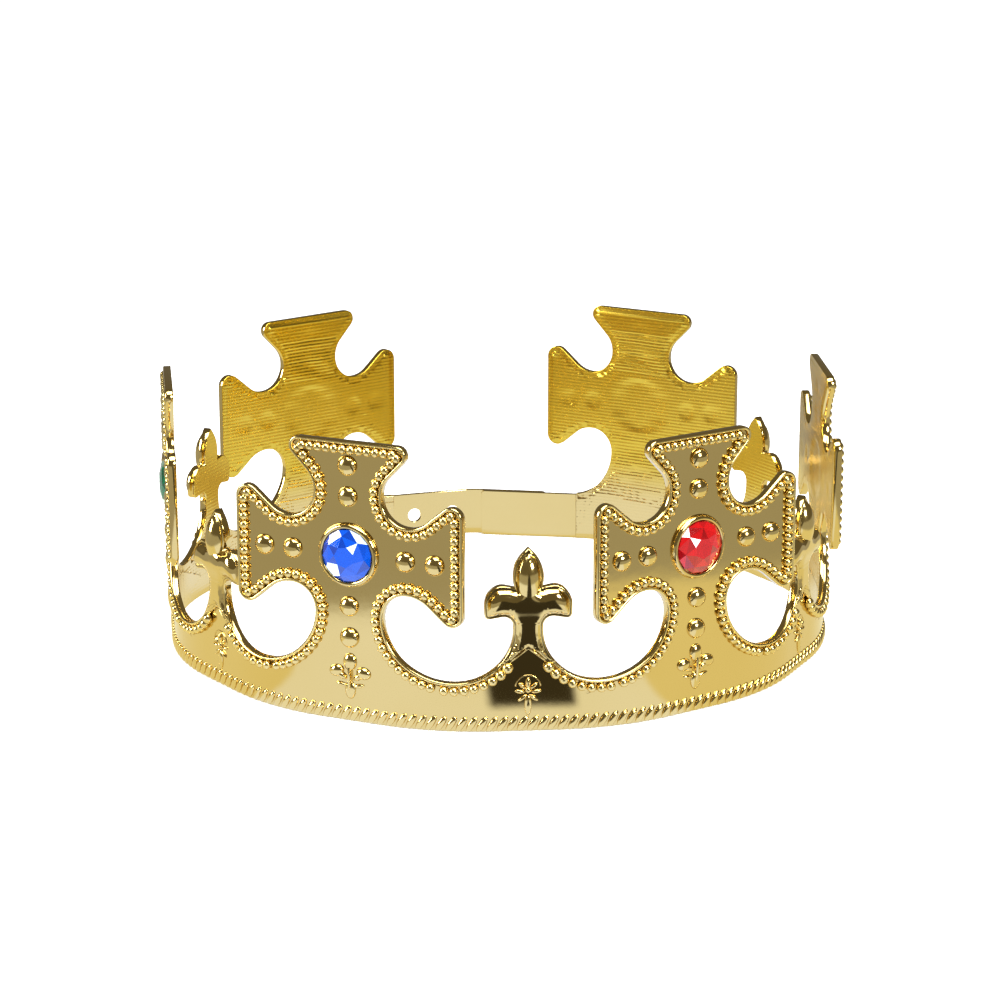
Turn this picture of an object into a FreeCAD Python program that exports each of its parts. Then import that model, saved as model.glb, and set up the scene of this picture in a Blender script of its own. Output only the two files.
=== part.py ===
"""Adjustable party crown, one moulded gold strip bent to a ring, with six set stones.

Frame: millimetres, +Z up, origin on the ring's axis at the level of its lower edge.
The front fleur faces -Y. Every panel is drawn as if it stood at the front, and its
Placement turns it about Z to its place on the ring. Positive turns go towards +X,
which is the viewer's right from the front.
"""

import math
import os

import FreeCAD
import Part
import Sketcher


DIMENSIONS = {
    # ring
    "panel_pitch": 29.19,        # degrees from one panel's middle to the next
    "face_distance": 95.2,       # axis to the outer face of a panel's flat middle
    "wall": 1.5,
    "flat_half": 8.0,            # half the flat middle of a panel's foot
    "foot_top": 20.0,            # height up to which a panel's foot is curved
    "joint_top": 14.1,           # band height where two panels meet
    "tongue_low": 6.0,
    "rope_height": 3.5,
    "rope_proud": 0.9,
    # cross plate
    "stone_height": 46.1,
    "cross_top": 77.1,
    "top_half": 14.7,
    "arm_half": 33.3,
    "arm_low": 32.6,
    "arm_high": 58.6,
    "tip_round": 3.0,
    "bar_round": 2.5,
    "notch_round": 8.1,
    "eye_round": 7.0,
    "underarm_round": 26.0,
    "foot_round": 16.5,
    "foot_half": 13.2,
    "stem_half": 10.0,
    "stem_height": 29.8,
    "eye_across": 9.0,           # from the stem to the top of the hollow beside it
    "eye_lift": 6.8,
    "low_tip_across": 5.8,       # the arm's lower tip, back from the arm's end
    "low_tip_drop": 1.2,
    "high_tip_across": 4.7,      # the arm's upper tip
    "high_tip_lift": 1.6,
    "notch_across": 10.7,        # where the notch over the arm starts
    "notch_lift": 10.8,
    "neck_spread": 1.9,          # the notch's upper end, out from the stem
    "neck_lift": 22.8,
    "bar_spread": 5.6,           # where the top bar's corner starts
    "bar_lift": 26.2,
    # domes
    "dome_inner": 16.2,          # stone's middle to the nearer dome on each arm
    "dome_outer": 24.6,
    "dome_lift": 1.9,            # how much nearer the lower arm's domes sit
    "dome_radius": 2.8,
    "dome_rise": 2.0,
    "dome_sink": 0.2,
    # bezel and stone
    "bezel_outer": 8.7,
    "bezel_inner": 7.3,
    "bezel_rise": 1.5,
    "stone_radius": 7.2,
    "girdle": 1.3,
    "crown_rise": 1.7,
    "crown_taper": 56.0,
    "crown_margin": 0.05,        # the faceted crown's corners, in from the girdle
    # fleur
    "fleur_tip": 50.3,
    "fleur_foot_half": 6.5,
    "fleur_stem_half": 4.0,
    "fleur_stem_height": 28.0,
    "lobe_half": 11.2,
    "lobe_height": 32.6,
    "lobe_round": 8.0,
    "lobe_tip_round": 1.5,
    "lobe_under": 4.0,           # the lobe's underside, back from its end
    "lobe_under_drop": 1.0,
    "lobe_tip_back": 1.6,
    "lobe_tip_drop": 1.7,
    "lobe_top_back": 4.2,
    "lobe_top_lift": 0.6,
    "petal_half": 3.9,
    "petal_low": 39.6,
    "petal_round": 12.7,
    "petal_rise": 1.3,
    "petal_margin": 0.6,         # flat rim round the raised petal
    "valley_half": 11.0,
    "valley_height": 15.7,
    "valley_round": 26.0,
    "fleur_foot_round": 14.5,
    # back straps
    "back_turn": 34.05,          # degrees from a back cross's middle to the middle of the back
    "strap_slope": 13.0,         # degrees each strap leans from square at the back
    "strap_wall": 1.2,
    "strap_height": 14.6,
    "strap_corner": 1.0,
    "inner_apex": 96.0,          # axis to where the inner strap's middle line crosses the back
    "outer_apex": 97.55,
    "peg_first": 6.4,            # along the strap from the middle of the back
    "peg_pitch": 12.85,
    "peg_radius": 1.9,
    "peg_length": 1.9,
    "hole_radius": 2.2,
    "strap_mid_height": 7.4,
    "inner_end": 3.2,            # gap from the middle of the back to the inner strap's end
    "outer_end": 24.5,
    "bend_round": 12.0,          # middle radius of the outer strap's bend at the back
    "flex_gap": 0.5,             # clear width at the inner strap's flex line
    "cut_clear": 1.0,            # how far a cut runs past what it cuts
}

SIDES = {"left": -1, "right": 1}
CROSS_STEPS = {"front": 1, "side": 3, "back": 5}
FLEUR_STEPS = {"fore": 2, "aft": 4}
SHEET = "Dimensions"
CROWN_FACETS = 12
PEG_COUNT = 2
TINY = 1e-9


class Size:
    """A number together with the spreadsheet expression that gives it."""

    def __init__(self, value, text):
        self.value = value
        self.text = text

    def combine(self, other, sign, swap=False):
        """Join two sizes, or a size and a plain number, with one arithmetic sign."""
        other = other if isinstance(other, Size) else Size(float(other), repr(float(other)))
        one, two = (other, self) if swap else (self, other)
        results = {
            "+": lambda: one.value + two.value,
            "-": lambda: one.value - two.value,
            "*": lambda: one.value * two.value,
            "/": lambda: one.value / two.value,
        }
        return Size(results[sign](), f"({one.text} {sign} {two.text})")

    def __add__(self, other):
        return self.combine(other, "+")

    def __radd__(self, other):
        return self.combine(other, "+", swap=True)

    def __sub__(self, other):
        return self.combine(other, "-")

    def __rsub__(self, other):
        return self.combine(other, "-", swap=True)

    def __mul__(self, other):
        return self.combine(other, "*")

    def __rmul__(self, other):
        return self.combine(other, "*", swap=True)

    def __truediv__(self, other):
        return self.combine(other, "/")

    def __neg__(self):
        return Size(-self.value, f"(0 - {self.text})")

    def sin(self):
        """Sine of a size in degrees."""
        return Size(math.sin(math.radians(self.value)), f"sin({self.text} * 1 deg)")

    def cos(self):
        """Cosine of a size in degrees."""
        return Size(math.cos(math.radians(self.value)), f"cos({self.text} * 1 deg)")

    def tan(self):
        """Tangent of a size in degrees."""
        return Size(math.tan(math.radians(self.value)), f"tan({self.text} * 1 deg)")


ZERO = Size(0.0, "0")
doc = FreeCAD.newDocument("crown")
sheet = doc.addObject("Spreadsheet::Sheet", SHEET)
for row, (alias, number) in enumerate(DIMENSIONS.items(), start=1):
    sheet.set(f"A{row}", alias)
    sheet.set(f"B{row}", str(number))
    sheet.setAlias(f"B{row}", alias)
doc.recompute()


def dim(alias):
    """The named driving dimension as a Size."""
    return Size(float(sheet.get(alias)), f"{SHEET}.{alias}")


def new_body(label, turn=None):
    """A body with a label of its own, turned about Z by a Size in degrees."""
    body = doc.addObject("PartDesign::Body", "Body_" + label)
    body.Label = label
    if turn is not None:
        body.Placement = FreeCAD.Placement(
            FreeCAD.Vector(), FreeCAD.Rotation(FreeCAD.Vector(0, 0, 1), turn.value))
        body.setExpression("Placement.Rotation.Angle", turn.text)
    return body


def plane_of(body, role):
    """The body's own origin plane with this role."""
    return next(item for item in body.Origin.OriginFeatures if item.Role == role)


def new_sketch(body, name, role, offset=None, height=None):
    """A sketch on an origin plane, moved along the plane's normal and up its second axis."""
    sketch = body.newObject("Sketcher::SketchObject", name)
    sketch.AttachmentSupport = [(plane_of(body, role), "")]
    sketch.MapMode = "FlatFace"
    move = FreeCAD.Vector(0, height.value if height else 0, offset.value if offset else 0)
    sketch.AttachmentOffset = FreeCAD.Placement(move, FreeCAD.Rotation())
    if offset:
        sketch.setExpression("AttachmentOffset.Base.z", offset.text)
    if height:
        sketch.setExpression("AttachmentOffset.Base.y", height.text)
    return sketch


def bind_constraint(sketch, kind, places, size):
    """Add one dimension to the sketch and bind it to the spreadsheet."""
    index = sketch.addConstraint(Sketcher.Constraint(kind, *places, size.value))
    sketch.setExpression(f"Constraints[{index}]", size.text)


def arc_between(start, end, radius, side):
    """The arc of a radius from start to end, with its centre on that side of the way."""
    way = end - start
    rise = math.sqrt(max(radius ** 2 - (way.Length / 2) ** 2, 0.0))
    normal = FreeCAD.Vector(-way.y, way.x, 0).normalize()
    centre = (start + end) / 2 + normal * (rise if side == "left" else -rise)
    first, last = (start, end) if side == "left" else (end, start)
    angles = [math.atan2(point.y - centre.y, point.x - centre.x) for point in (first, last)]
    circle = Part.Circle(centre, FreeCAD.Vector(0, 0, 1), radius)
    return Part.ArcOfCircle(circle, angles[0], angles[1])


def draw_loop(sketch, steps):
    """Draw a closed loop and bind each corner and radius.

    Each step is (x, y) for a straight run from there to the next corner, or
    (x, y, radius, side) for an arc, whose centre is to the "left" or "right" of the way.
    """
    corners = [FreeCAD.Vector(step[0].value, step[1].value, 0) for step in steps]
    first = sketch.GeometryCount
    starts = []
    for step, start, end in zip(steps, corners, corners[1:] + corners[:1]):
        if len(step) == 2:
            curve = Part.LineSegment(start, end)
        else:
            curve = arc_between(start, end, step[2].value, step[3])
        sketch.addGeometry(curve, False)
        starts.append(2 if step[-1] == "right" else 1)
    for place, step in enumerate(steps):
        index = first + place
        following = (place + 1) % len(steps)
        sketch.addConstraint(Sketcher.Constraint(
            "Coincident", index, 3 - starts[place], first + following, starts[following]))
        bind_constraint(sketch, "DistanceX", (-1, 1, index, starts[place]), step[0])
        bind_constraint(sketch, "DistanceY", (-1, 1, index, starts[place]), step[1])
        if len(step) > 2:
            bind_constraint(sketch, "Radius", (index,), step[2])


def draw_circle(sketch, x, y, radius):
    """Draw a circle and bind its centre and radius."""
    index = sketch.addGeometry(
        Part.Circle(FreeCAD.Vector(x.value, y.value, 0), FreeCAD.Vector(0, 0, 1), radius.value), False)
    bind_constraint(sketch, "DistanceX", (-1, 1, index, 3), x)
    bind_constraint(sketch, "DistanceY", (-1, 1, index, 3), y)
    bind_constraint(sketch, "Radius", (index,), radius)


def mirrored(half):
    """Close a right-hand half outline, given upwards, with its mirror image, given downwards."""
    loop = [tuple(step) for step in half]
    for place in range(len(half) - 1, -1, -1):
        x, y = half[place][0], half[place][1]
        if abs(x.value) < TINY:
            continue
        before = half[place - 1] if place else ()
        loop.append((-x, y) + tuple(before[2:]))
    top = half[-1]
    if abs(top[0].value) < TINY:
        loop[len(half) - 1] = (top[0], top[1]) + tuple(half[-2][2:])
    return loop


def pad(body, sketch, length, name, taper=None):
    """Pad a sketch along its normal by a bound length."""
    feature = body.newObject("PartDesign::Pad", name)
    feature.Profile = sketch
    feature.Length = length.value
    feature.setExpression("Length", length.text)
    if taper:
        feature.TaperAngle = -taper.value
        feature.setExpression("TaperAngle", (-taper).text)
    return feature


def pocket_through(body, sketch, name):
    """Cut a sketch right through the body on both sides of its plane."""
    feature = body.newObject("PartDesign::Pocket", name)
    feature.Profile = sketch
    feature.Type = "ThroughAll"
    feature.SideType = "Symmetric"
    return feature


def curved_plan(sketch, outer, inner, plain_sides):
    """Draw the plan of a foot: a flat middle and, on each plain side, half a curved bay."""
    half = dim("flat_half")
    bay = dim("panel_pitch") / 2
    centre = half / bay.tan()
    rim = {}
    for face, distance in (("outer", outer), ("inner", inner)):
        radius = distance - centre
        rim[face] = (half + radius * bay.sin(), -(centre + radius * bay.cos()), radius)
    steps = []
    if -1 in plain_sides:
        x, y, radius = rim["outer"]
        steps.append((-x, y, radius, "left"))
    steps.append((-half, -outer))
    if 1 in plain_sides:
        x, y, radius = rim["outer"]
        steps.append((half, -outer, radius, "left"))
        steps.append((x, y))
        x, y, radius = rim["inner"]
        steps.append((x, y, radius, "right"))
    else:
        steps.append((half, -outer))
    steps.append((half, -inner))
    if -1 in plain_sides:
        x, y, radius = rim["inner"]
        steps.append((-half, -inner, radius, "right"))
        steps.append((-x, y))
    else:
        steps.append((-half, -inner))
    draw_loop(sketch, steps)


def add_foot(body, plain_sides):
    """Pad the panel's foot, and the rope edge that stands proud of it."""
    outer = dim("face_distance")
    inner = outer - dim("wall")
    sketch = new_sketch(body, "FootPlan", "XY_Plane")
    curved_plan(sketch, outer, inner, plain_sides)
    pad(body, sketch, dim("foot_top"), "Foot")
    sketch = new_sketch(body, "RopePlan", "XY_Plane")
    curved_plan(sketch, outer + dim("rope_proud"), inner, plain_sides)
    pad(body, sketch, dim("rope_height"), "RopeEdge")


def side_steps(side, steps):
    """Steps of a loop for the right-hand side, or turned over for the left-hand one."""
    if side > 0:
        return steps
    flipped = [(-step[0], step[1]) for step in steps]
    turned = []
    for place in range(len(steps) - 1, -1, -1):
        before = steps[place - 1]
        turned.append(flipped[place] + tuple(before[2:]))
    return turned


def cut_bays(body, low_by_side):
    """Cut the hollow beside each panel down into its foot, along each side's low outline."""
    sketch = new_sketch(body, "BayCut", "XZ_Plane")
    outside = dim("foot_top") + dim("cut_clear")
    beyond = dim("face_distance") / 3
    for side, low in low_by_side.items():
        steps = [*low, (low[-1][0], outside), (beyond, outside), (beyond, low[0][1])]
        draw_loop(sketch, side_steps(side, steps))
    pocket_through(body, sketch, "Bays")


def bay_corner():
    """Where the joint between two panels meets the outer face, measured across."""
    half = dim("flat_half")
    bay = dim("panel_pitch") / 2
    return half + (dim("face_distance") - half / bay.tan()) * bay.sin()


def cross_outline():
    """The plate of a cross above its foot."""
    low, stem = dim("foot_top"), dim("stem_half")
    arm, tip = dim("arm_half"), dim("tip_round")
    notch = dim("notch_round")
    middle, top = dim("stone_height"), dim("cross_top")
    half = [
        (dim("flat_half"), dim("tongue_low")),
        (dim("flat_half"), low),
        (dim("foot_half"), low, dim("foot_round"), "right"),
        (stem, dim("stem_height"), dim("eye_round"), "right"),
        (stem + dim("eye_across"), dim("stem_height") + dim("eye_lift"), dim("underarm_round"), "right"),
        (arm - dim("low_tip_across"), dim("arm_low") - dim("low_tip_drop"), tip, "left"),
        (arm, dim("arm_low")),
        (arm, dim("arm_high"), tip, "left"),
        (arm - dim("high_tip_across"), dim("arm_high") + dim("high_tip_lift")),
        (arm - dim("notch_across"), middle + dim("notch_lift"), notch, "right"),
        (stem + dim("neck_spread"), middle + dim("neck_lift")),
        (stem + dim("bar_spread"), middle + dim("bar_lift"), dim("bar_round"), "left"),
        (dim("top_half"), top),
    ]
    return mirrored(half)


def fleur_outline():
    """The plate of a fleur above its foot."""
    low = dim("foot_top")
    stem, lobe, height = dim("fleur_stem_half"), dim("lobe_half"), dim("lobe_height")
    petal = dim("petal_half")
    half = [
        (stem, dim("tongue_low")),
        (stem, low),
        (dim("fleur_foot_half"), low, dim("fleur_foot_round"), "right"),
        (stem, dim("fleur_stem_height"), dim("tip_round"), "right"),
        (lobe - dim("lobe_under"), height - dim("lobe_under_drop")),
        (lobe - dim("lobe_tip_back"), height - dim("lobe_tip_drop"), dim("lobe_tip_round"), "left"),
        (lobe, height, dim("lobe_round"), "left"),
        (lobe - dim("lobe_top_back"), dim("petal_low") + dim("lobe_top_lift")),
        (petal, dim("petal_low"), dim("petal_round"), "left"),
        (ZERO, dim("fleur_tip")),
    ]
    return mirrored(half)


def add_plate(body, outline):
    """Pad the flat plate that stands on the foot."""
    inner = dim("face_distance") - dim("wall")
    sketch = new_sketch(body, "PlateOutline", "XZ_Plane", offset=inner)
    draw_loop(sketch, outline)
    pad(body, sketch, dim("wall"), "Plate")


def add_bezel(body):
    """Pad the ring that holds the stone."""
    sketch = new_sketch(
        body, "BezelRing", "XZ_Plane", offset=dim("face_distance"), height=dim("stone_height"))
    draw_circle(sketch, ZERO, ZERO, dim("bezel_outer"))
    draw_circle(sketch, ZERO, ZERO, dim("bezel_inner"))
    pad(body, sketch, dim("bezel_rise"), "Bezel")


def add_bump(body, name, across, height, half_width, half_length, rise):
    """Add half an ellipsoid that stands out of the plate's face."""
    bump = body.newObject("PartDesign::AdditiveEllipsoid", name)
    bump.AttachmentSupport = [(plane_of(body, "XZ_Plane"), "")]
    bump.MapMode = "FlatFace"
    bump.Angle1 = 0
    depth = dim("face_distance") - dim("dome_sink")
    bump.AttachmentOffset = FreeCAD.Placement(
        FreeCAD.Vector(across.value, height.value, depth.value), FreeCAD.Rotation())
    for axis, size in (("x", across), ("y", height), ("z", depth)):
        bump.setExpression(f"AttachmentOffset.Base.{axis}", size.text)
    radii = {"Radius1": rise + dim("dome_sink"), "Radius2": half_width, "Radius3": half_length}
    for prop, size in radii.items():
        setattr(bump, prop, size.value)
        bump.setExpression(prop, size.text)


def add_domes(body):
    """Add two domes on each of the four arms around the stone."""
    radius = dim("dome_radius")
    middle = dim("stone_height")
    reaches = {
        "Up": (0, 1, dim("dome_inner"), dim("dome_outer")),
        "Down": (0, -1, dim("dome_inner") - dim("dome_lift"), dim("dome_outer") - dim("dome_lift")),
        "East": (1, 0, dim("dome_inner"), dim("dome_outer")),
        "West": (-1, 0, dim("dome_inner"), dim("dome_outer")),
    }
    for arm, (across, up, *places) in reaches.items():
        for place, reach in zip(("Inner", "Outer"), places):
            add_bump(body, f"Dome{arm}{place}", reach * across, middle + reach * up,
                     radius, radius, dim("dome_rise"))


def strap_bend(apex):
    """How a strap leaves a back cross: its turn, bend radius and the bend's corner."""
    turn = dim("back_turn") - dim("strap_slope")
    middle = dim("face_distance") - dim("wall") / 2
    across = apex * dim("back_turn").sin()
    along = apex * dim("back_turn").cos()
    corner = across - (middle - along) / turn.tan()
    reach = corner - dim("flat_half")
    radius = reach / (turn / 2).tan()
    straight = (across - corner) / turn.cos() - reach
    return turn, radius, straight


def add_strap_root(body, side, apex):
    """Pad the curved root that leads from a back cross to the start of its strap."""
    half, thick = dim("flat_half"), dim("strap_wall") / 2
    middle = dim("face_distance") - dim("wall") / 2
    turn, radius = strap_bend(apex)[:2]
    centre = middle - radius
    outer, inner = radius + thick, radius - thick
    steps = [
        (half, -(middle + thick), outer, "left"),
        (half + outer * turn.sin(), -(centre + outer * turn.cos())),
        (half + inner * turn.sin(), -(centre + inner * turn.cos()), inner, "right"),
        (half, -(middle - thick)),
    ]
    sketch = new_sketch(body, "StrapRootPlan", "XY_Plane")
    draw_loop(sketch, side_steps(side, steps))
    pad(body, sketch, dim("foot_top"), "StrapRoot")


def make_cross(label, side, step):
    """A cross panel: foot, plate, bezel and domes; a back one also carries its strap's root."""
    body = new_body(label, dim("panel_pitch") * (side * step))
    back = step == CROSS_STEPS["back"]
    add_foot(body, [-side] if back else [-1, 1])
    foot_end = (dim("foot_half"), dim("foot_top"))
    low = [(bay_corner(), dim("joint_top"), dim("foot_round"), "right"), foot_end]
    low_by_side = {-side: low, side: low}
    if back:
        add_strap_root(body, side, dim("inner_apex" if side > 0 else "outer_apex"))
        low_by_side[side] = [
            (bay_corner(), dim("strap_height"), dim("foot_round"), "right"), foot_end]
    cut_bays(body, low_by_side)
    add_plate(body, cross_outline())
    add_bezel(body)
    add_domes(body)
    return body


def make_fleur(label, turn):
    """A fleur panel: foot, plate and raised petal."""
    body = new_body(label, turn)
    add_foot(body, [-1, 1])
    low = [
        (bay_corner(), dim("joint_top"), dim("valley_round"), "right"),
        (dim("valley_half"), dim("valley_height"), dim("fleur_foot_round"), "right"),
        (dim("fleur_foot_half"), dim("foot_top")),
    ]
    cut_bays(body, {-1: low, 1: low})
    add_plate(body, fleur_outline())
    petal_length = (dim("fleur_tip") - dim("petal_low")) / 2
    margin = dim("petal_margin")
    add_bump(body, "Petal", ZERO, dim("petal_low") + petal_length, dim("petal_half") - margin,
             petal_length - margin, dim("petal_rise"))
    return body


def make_stone(label, turn):
    """A faceted stone: a round girdle with a tapered twelve-sided crown on it."""
    body = new_body(label, turn)
    sketch = new_sketch(
        body, "Girdle", "XZ_Plane", offset=dim("face_distance"), height=dim("stone_height"))
    draw_circle(sketch, ZERO, ZERO, dim("stone_radius"))
    pad(body, sketch, dim("girdle"), "GirdlePad")
    sketch = new_sketch(body, "Crown", "XZ_Plane", offset=dim("face_distance") + dim("girdle"),
                        height=dim("stone_height"))
    radius = dim("stone_radius") - dim("crown_margin")
    steps = []
    for facet in range(CROWN_FACETS):
        degrees = 360.0 * facet / CROWN_FACETS
        angle = Size(degrees, repr(degrees))
        steps.append((radius * angle.cos(), radius * angle.sin()))
    draw_loop(sketch, steps)
    pad(body, sketch, dim("crown_rise"), "CrownPad", taper=dim("crown_taper"))
    return body


def strap_body(label, apex):
    """A strap's body in the frame of the overlap: -X along it to the right, -Y outwards."""
    body = new_body(label)
    turn = 180 - dim("strap_slope")
    body.Placement = FreeCAD.Placement(
        FreeCAD.Vector(0, apex.value, 0), FreeCAD.Rotation(FreeCAD.Vector(0, 0, 1), turn.value))
    body.setExpression("Placement.Base.y", apex.text)
    body.setExpression("Placement.Rotation.Angle", turn.text)
    return body


def make_inner_strap(label):
    """The right-hand strap, which lies inside and carries two pegs."""
    apex, wall = dim("inner_apex"), dim("strap_wall")
    body = strap_body(label, apex)
    far = strap_bend(apex)[2] - dim("flex_gap")
    near, round_off, top = dim("inner_end"), dim("strap_corner"), dim("strap_height")
    outline = [
        (far, ZERO),
        (far, top),
        (near + round_off, top, round_off, "left"),
        (near, top - round_off),
        (near, round_off, round_off, "left"),
        (near + round_off, ZERO),
    ]
    sketch = new_sketch(body, "StrapOutline", "XZ_Plane", offset=-(wall / 2))
    draw_loop(sketch, side_steps(-1, outline))
    pad(body, sketch, wall, "Strap")
    sketch = new_sketch(body, "PegCircles", "XZ_Plane", offset=wall / 2)
    for peg in range(PEG_COUNT):
        along = dim("peg_first") + dim("peg_pitch") * peg
        draw_circle(sketch, -along, dim("strap_mid_height"), dim("peg_radius"))
    pad(body, sketch, dim("peg_length"), "Pegs")
    return body


def make_outer_strap(label):
    """The left-hand strap, which lies outside, bends at the back and has four holes."""
    apex, thick = dim("outer_apex"), dim("strap_wall") / 2
    body = strap_body(label, apex)
    fold = dim("strap_slope") * 2
    bend, reach = dim("bend_round"), dim("bend_round") * dim("strap_slope").tan()
    straight, end = strap_bend(apex)[2], dim("outer_end")
    steps = []
    for face, way in ((thick, "left"), (-thick, "right")):
        radius = bend + face
        run = [
            (-end, -face),
            (-reach, -face, radius, way),
            (reach * fold.cos() + face * fold.sin(), reach * fold.sin() - face * fold.cos()),
            (straight * fold.cos() + face * fold.sin(), straight * fold.sin() - face * fold.cos()),
        ]
        steps += run if way == "left" else [run[3], (*run[2], radius, way), run[1][:2], run[0]]
    sketch = new_sketch(body, "StrapPlan", "XY_Plane")
    draw_loop(sketch, steps)
    pad(body, sketch, dim("strap_height"), "Strap")
    lap_shift = (dim("outer_apex") - dim("inner_apex")) * dim("strap_slope").sin()
    for name, turn, way in (("PegHoles", None, -1), ("SpareHoles", fold, 1)):
        sketch = new_sketch(body, name, "XZ_Plane")
        if turn:
            sketch.AttachmentOffset = FreeCAD.Placement(
                FreeCAD.Vector(), FreeCAD.Rotation(FreeCAD.Vector(0, 1, 0), turn.value))
            sketch.setExpression("AttachmentOffset.Rotation.Angle", turn.text)
        for hole in range(PEG_COUNT):
            along = (dim("peg_first") + lap_shift + dim("peg_pitch") * hole) * way
            draw_circle(sketch, along, dim("strap_mid_height"), dim("hole_radius"))
        pocket_through(body, sketch, name + "Cut")
    return body


def build():
    """Build every sub-part and return the bodies."""
    bodies = [make_fleur("fleur_front", None)]
    for side_name, side in SIDES.items():
        for place, step in CROSS_STEPS.items():
            bodies.append(make_cross(f"cross_{place}_{side_name}", side, step))
            bodies.append(make_stone(f"stone_{place}_{side_name}", dim("panel_pitch") * (side * step)))
        for place, step in FLEUR_STEPS.items():
            bodies.append(make_fleur(f"fleur_{place}_{side_name}", dim("panel_pitch") * (side * step)))
    bodies.append(make_inner_strap("strap_inner"))
    bodies.append(make_outer_strap("strap_outer"))
    return bodies


def write_steps(bodies):
    """Check every object and write one STEP file for each sub-part."""
    doc.recompute()
    for item in doc.Objects:
        bad = {"Invalid", "Error"} & set(item.State)
        assert not bad, f"{item.Label} is {bad}"
        if item.TypeId == "PartDesign::Pocket":
            assert item.Shape.Volume < item.BaseFeature.Shape.Volume, f"{item.Label} cut nothing"
    os.makedirs("parts", exist_ok=True)
    for body in bodies:
        shape = body.Shape
        assert not shape.isNull() and shape.isValid(), f"{body.Label} has a bad shape"
        assert len(shape.Solids) == 1, f"{body.Label} has {len(shape.Solids)} solids"
        shape.exportStep(f"parts/{body.Label}.step")
        print(f"{body.Label}: {shape.Volume:.0f} mm3")


write_steps(build())
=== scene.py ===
"""Looks of an adjustable dress-up crown: gold plated panels, set stones and a pegged strap."""

import logging
import math
import random
from dataclasses import dataclass, field
from enum import Enum
from typing import Callable, Union

import bmesh
import bpy
from bmesh.types import BMEdge, BMesh, BMFace, BMVert
from mathutils import Matrix, Vector


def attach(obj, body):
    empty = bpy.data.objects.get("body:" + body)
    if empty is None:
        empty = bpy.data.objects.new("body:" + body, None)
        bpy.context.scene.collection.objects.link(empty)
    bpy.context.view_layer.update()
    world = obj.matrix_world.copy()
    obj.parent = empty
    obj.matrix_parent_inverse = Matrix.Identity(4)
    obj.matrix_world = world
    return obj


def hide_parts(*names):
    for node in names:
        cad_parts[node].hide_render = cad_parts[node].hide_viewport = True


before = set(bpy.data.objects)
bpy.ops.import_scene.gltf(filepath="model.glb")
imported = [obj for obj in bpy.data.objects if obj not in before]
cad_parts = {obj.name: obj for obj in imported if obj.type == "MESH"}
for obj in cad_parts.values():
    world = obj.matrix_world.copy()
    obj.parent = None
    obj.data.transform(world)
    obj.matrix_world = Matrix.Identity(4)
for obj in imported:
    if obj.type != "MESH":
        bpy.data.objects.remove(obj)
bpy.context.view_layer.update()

log = logging.getLogger("crown")

MILLIMETRE = 0.001
PITCH = math.radians(29.19)
FACE = 95.2
WALL = 1.5
ARC_STEP = 0.8
STONE_HEIGHT = 46.1
BAND_TOP = 20.0
RIBBED = 1
PUFFED = 2
CAP = 3
RIB_PITCH = 1.05


class Side(Enum):
    """Which half of a panel, as the sign of its along coordinate."""

    LEFT = -1
    RIGHT = 1


class Colour(Enum):
    """The three stone colours, by the name of their material slot."""

    RED = "stone_red"
    GREEN = "stone_green"
    BLUE = "stone_blue"


# ---------------------------------------------------------------- shader nodes


class Wire:
    """An output socket that takes part in arithmetic by adding Math nodes."""

    def __init__(self, graph: "Graph", socket: bpy.types.NodeSocket) -> None:
        """Keeps the socket and the graph it belongs to."""
        self.graph = graph
        self.socket = socket

    def _math(self, operation: str, first: "Value", second: "Value") -> "Wire":
        """Adds one Math node.

        Args:
            operation: The Math node's operation.
            first: Its first value or link.
            second: Its second value or link.

        Returns:
            The result as a wire.
        """
        return self.graph.node("ShaderNodeMath", {"operation": operation}, {0: first, 1: second})

    def __add__(self, other: "Value") -> "Wire":
        """This plus other."""
        return self._math("ADD", self, other)

    def __radd__(self, other: "Value") -> "Wire":
        """Other plus this."""
        return self._math("ADD", other, self)

    def __sub__(self, other: "Value") -> "Wire":
        """This minus other."""
        return self._math("SUBTRACT", self, other)

    def __rsub__(self, other: "Value") -> "Wire":
        """Other minus this."""
        return self._math("SUBTRACT", other, self)

    def __mul__(self, other: "Value") -> "Wire":
        """This times other."""
        return self._math("MULTIPLY", self, other)

    def __rmul__(self, other: "Value") -> "Wire":
        """Other times this."""
        return self._math("MULTIPLY", other, self)


Value = Union[Wire, float, int, tuple]


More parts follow.
